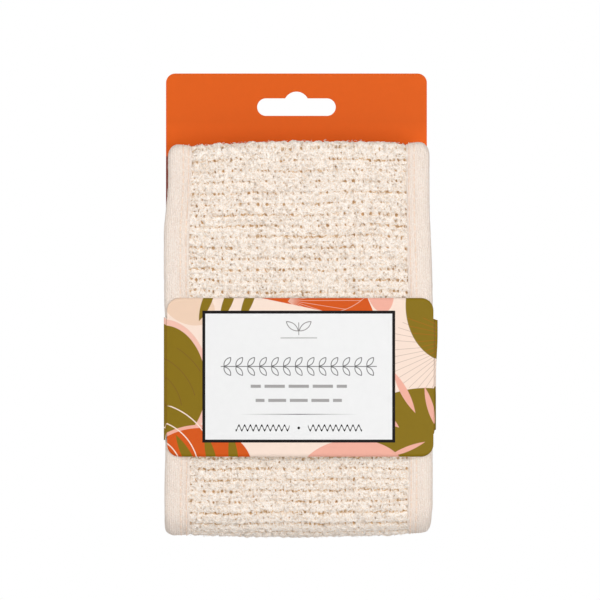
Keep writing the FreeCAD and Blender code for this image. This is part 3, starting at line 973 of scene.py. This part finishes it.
class Art:
    """Flat shapes on the print, as distances in millimetres that are negative inside. a and b are Values."""

    def __init__(self, shader, a, b):
        self.shader, self.a, self.b = shader, a, b
        self.picture = CREAM

    def off(self, centre):
        return self.a - centre[0], self.b - centre[1]

    def turned(self, centre, degrees):
        """Coordinates along and across a line through centre."""
        c, s = math.cos(math.radians(degrees)), math.sin(math.radians(degrees))
        a, b = self.off(centre)
        return a * c + b * s, b * c - a * s

    def oval(self, centre, radii, degrees=0.0):
        x, y = self.turned(centre, degrees)
        return (hypotenuse(x / radii[0], y / radii[1]) - 1.0) * min(radii)

    def leaf(self, centre, half_length, half_width, degrees):
        x, y = self.turned(centre, degrees)
        radius = (half_length**2 + half_width**2) / (2 * half_width)
        return hypotenuse(x, y.size() + (radius - half_width)) - radius

    def bar(self, centre, half_length, half_width, degrees=0.0):
        """A straight bar with round ends."""
        x, y = self.turned(centre, degrees)
        return hypotenuse((x.size() - (half_length - half_width)).most(0.0), y) - half_width

    def panel(self, centre, half_width, half_height):
        a, b = self.off(centre)
        return (a.size() - half_width).most(b.size() - half_height)

    def rings(self, centre, spacing, half_line):
        """Thin lines round a centre, a fixed spacing apart."""
        return hypotenuse(*self.off(centre)).repeat(spacing).size() - half_line

    def rays(self, centre, degrees, half_line):
        """Thin lines that fan out from a centre, one each so many degrees."""
        a, b = self.off(centre)
        angle = b.math("ARCTAN2", a).repeat(math.radians(degrees))
        return angle.size() * hypotenuse(a, b) - half_line

    def paint(self, distance, colour, strength=1.0):
        share = distance.inside() * strength
        self.picture = self.shader.mix(share, self.picture, colour)


def leaf_pattern(art):
    """Overlapping leaves and soft shapes in olive, orange, pink and tan on cream, and painted shade along the
    panel's creases.
    """
    paint, oval, leaf, rays, rings = art.paint, art.oval, art.leaf, art.rays, art.rings
    paint(oval((-45, 29), (11, 7.5), -22), TAN)
    orange_top = ((art.b - 28.7 + art.a * 0.21) * -1.0).most(art.a - 40.6 + art.b * 0.42)
    paint(orange_top, ORANGE)
    vein = leaf((12, 33), 17, 7, 8)
    paint((vein.size() - 0.14).most(orange_top), CREAM, 0.5)
    paint(rays((-4, 31), 9, 0.10).most(vein), CREAM, 0.5)
    for a in (-37.5, -29.0, -20.8):
        paint(leaf((a, 31), 9, 1.9, 68), OLIVE)
    paint(oval((32, 36), (5.5, 10), 12), PINK)
    right_top = oval((61, 29), (18.5, 23))
    fan = rays((62, 13), 6.5, 0.10).most(oval((50, 10), (13.5, 16)))
    paint(fan.most(right_top * -1.0), BROWN, 0.45)
    paint(right_top, OLIVE)
    paint(rays((66, 16), 7, 0.10).most(right_top + 0.5).most(art.b - 24), ORANGE, 0.4)
    low_right = oval((50, -27.5), (31, 23.2), 2)
    paint(low_right, OLIVE)
    for shape in (((42, -6), 9.5, 1.5, -62), ((52.5, -12), 8.5, 1.3, -74), ((43, -29), 8, 1.0, 22),
                  ((47, -35), 9, 1.1, 26), ((36, -17), 5, 1.2, -40)):
        paint(leaf(*shape), PINK)
    left = oval((-54.5, -2.5), (16.5, 23.5), 3)
    paint(left + -1.7, PINK, 0.7)
    paint(left, OLIVE)
    veins = rings((-66, -14), 6.1, 0.10).most(left + 0.8)
    paint(veins.most(oval((-52, 0), (12, 12))), BROWN, 0.8)
    low_left = oval((-41.5, -37), (22, 16.5), 6)
    paint((low_left + -1.3).most(art.a + 28), PINK)
    paint(low_left, ORANGE)
    for a, turn in ((-45.5, 118), (-36, 104), (-27, 96)):
        paint(leaf((a, -32), 10, 1.9, turn).most(low_left), OLIVE)
    paint(rings((-62, -38), 7.0, 0.22).most(oval((-52, -28), (15, 17), 30)), CREAM)
    paint(oval((21, -40), (22, 15), 3), PINK)
    # painted shade: thin dark lines along the creases where the band folds back beside the front panel
    for edge in (PANEL_LEFT - 0.3 - ART_X, PANEL_RIGHT + 0.3 - ART_X):
        paint((art.a - edge).size() - 0.16, BROWN, 0.5)


GREY, INK, WHITE = linear(120, 116, 114), linear(8, 2, 2), linear(229, 229, 229)


def label(art):
    """A white panel in a black frame, with a leaf garland and plain bars in place of words."""
    middle, half, frame_line = (-0.6, 0.3), (38.9, 26.6), 1.2
    paint, bar, mid = art.paint, art.bar, middle[0]
    paint(art.panel(middle, *half), INK)
    paint(art.panel(middle, half[0] - frame_line, half[1] - frame_line), WHITE)
    for side in (-1, 1):
        sprig = art.leaf((mid + side * 2.6, 20.6), 3.0, 1.15, side * 38)
        paint(sprig.size() - 0.16, GREY)
    paint(bar((mid, 19.6), 2.6, 0.14, 90), GREY)
    paint(bar((mid, 15.9), 7.4, 0.14), GREY)
    paint(bar((mid, 4.4), 31.5, 0.17), INK, 0.8)
    cell = (art.a - mid).repeat(4.8)
    out = (art.a - mid).size()
    whole = out - 31.0
    for tilt in (52, -52):
        c, s = math.cos(math.radians(tilt)), math.sin(math.radians(tilt))
        rise = (art.b - 4.4) - (1.9 if tilt > 0 else -1.9)
        along, side = cell * c + rise * s, rise * c - cell * s
        shape = hypotenuse(along, side.size() + 1.9) - 2.85
        paint((shape.size() - 0.17).most(whole), INK, 0.85)
    for b, half_length, period in ((-3.6, 19.4, 9.7), (-9.3, 17.4, 8.7)):
        words = (art.a - mid).repeat(period).size() - (period / 2 - 0.75)
        row = ((art.b - b).size() - 0.62).most(out - half_length).most(words)
        paint(row, GREY, 0.75)
    fade = (1.0 - out / 24.0).most(0.0)
    rule = ((art.b + 14.9).size() - 0.14).inside() * fade
    art.picture = art.shader.mix(rule, art.picture, INK)
    wave = (art.b + 20.4) - (art.a * (math.tau / 2.3)).sine() * 1.05
    for side in (-1, 1):
        paint((wave.size() - 0.42).most((art.a - (mid + side * 14.6)).size() - 10.9), INK)
    paint(art.oval((mid, -20.4), (0.55, 0.55)), INK)


def printed_board(name, picture_of):
    """Coated board: print under a thin varnish, with a faint grain."""
    shader = Shader(name, 0.5, Specular_IOR_Level=0.15)
    grain = shader.noise(shader.coordinates(), 1800.0, 3.0)
    speck = shader.noise(shader.coordinates(), 350.0, 2.0)
    tone = shader.mix(speck, (0.965, 0.965, 0.965, 1.0), (1.0, 1.0, 1.0, 1.0))
    shader.give("Base Color", shader.mix(1.0, picture_of(shader), tone, "MULTIPLY"))
    shader.give("Roughness", grain * 0.14 + 0.42)
    shader.bump(grain, 0.00003)
    return shader.material


def band_print():
    def picture_of(shader):
        u, z, _ = shader.split(shader.coordinates("cloth"))
        art = Art(shader, u - ART_X, z - ART_Z)
        leaf_pattern(art)
        label(art)
        return art.picture
    return printed_board("band_print", picture_of)


def card_print():
    """Orange on both faces, darker below the header, with painted light that makes the orange lighter just
    above the fabric, and bare paper on the cut edges.
    """
    def picture_of(shader):
        _, _, z = shader.split(shader.coordinates())
        facing = shader.split(shader.coordinates("Normal"), 1.0)[1].size()
        header = (z + 20.0).clamped(0.5)
        # painted light: the orange is lighter over the 8 mm above the fabric, against the shade that the
        # strap casts on the card
        away = (z * 0.13).clamped(1.76)     # 0 just above the fabric, 1 from 8 mm higher up
        orange = shader.mix(away, linear(229, 96, 16), linear(214, 89, 12))
        face = shader.mix(header, linear(140, 54, 36), orange)
        edge = (facing - 0.5).math("GREATER_THAN", 0.0)
        return shader.mix(edge, linear(242, 236, 228), face)
    return printed_board("card_print", picture_of)


def glue_material():
    return noisy("glue", 0.35, (300.0, 2.0), (214, 196, 150), (238, 228, 200), 0.00008, Coat_Weight=0.3)


# ---- build ----


def strap():
    tape, webbing = tape_material(), webbing_material()
    thread = noisy("thread", 0.7, (2200.0,), (238, 206, 182), (252, 232, 214), 0.0001, Sheen_Weight=0.2)
    wool, holes = yarn_material(), Holes(np.random.default_rng(17))
    yarn = knit_yarn(wool, holes)
    under_band = (S_TOP_TURN + S_LOW_TURN) / 2
    yarn += [knit_fill("knit_fill_upper", S_TOP_TURN - 14, under_band, 0.36, wool, holes),
             knit_fill("knit_fill_lower", under_band, S_LOW_TURN + 12, 0.36, wool, holes),
             knit_fill("knit_fill_rear", S_LOW_TURN + 12, LENGTH - 9, 0.8, wool, holes)]
    yarn += knit_fuzz(wool, holes)
    # painted shade: the ground cloth under the yarn is coloured tan, so that the holes show dark where there
    # is only shade down in them
    coarse = noisy("knit_ground_painted_shade", 0.95, (700.0, 3.0, 0.7), (190, 142, 96), (222, 184, 142), 0.0003)
    terry = noisy("soft_cotton", 0.95, (900.0, 2.0, 0.8), (224, 208, 190), (247, 240, 229), 0.0006,
                  Sheen_Weight=0.3)
    ground = cloth_sheet("knit_ground_cloth", N_KNIT - 1.95, coarse, "knit_face_panel", 0.5)
    soft = cloth_sheet("soft_backing_cloth", 0.5 - N_KNIT, terry, "soft_backing_panel", 0.9)
    edges = [make(side, material) for side in ("left", "right")
             for make, material in ((binding, tape), (binding_stitches, thread))]
    ends = []
    for end in ENDS:
        ends += [hem(end, tape), hem_stitches(end, thread), bar_tacks(end, thread)]
        hand_loop(end, webbing)


def package():
    paper, core = (noisy(name, 0.85, (900.0, 4.0, 0.7), first, second, 0.00005) for name, first, second in (
        ("bare_board", (226, 220, 210), (244, 240, 232)), ("board_core", (240, 236, 230), (250, 248, 244))))
    belly_band(band_print(), paper, core)
    for node, material in (("hang_card", card_print()), ("band_seam_glue", glue_material()),
                           ("card_glue_strips", glue_material())):
        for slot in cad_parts[node].material_slots:
            slot.material = material


camera()
studio()
strap()
package()
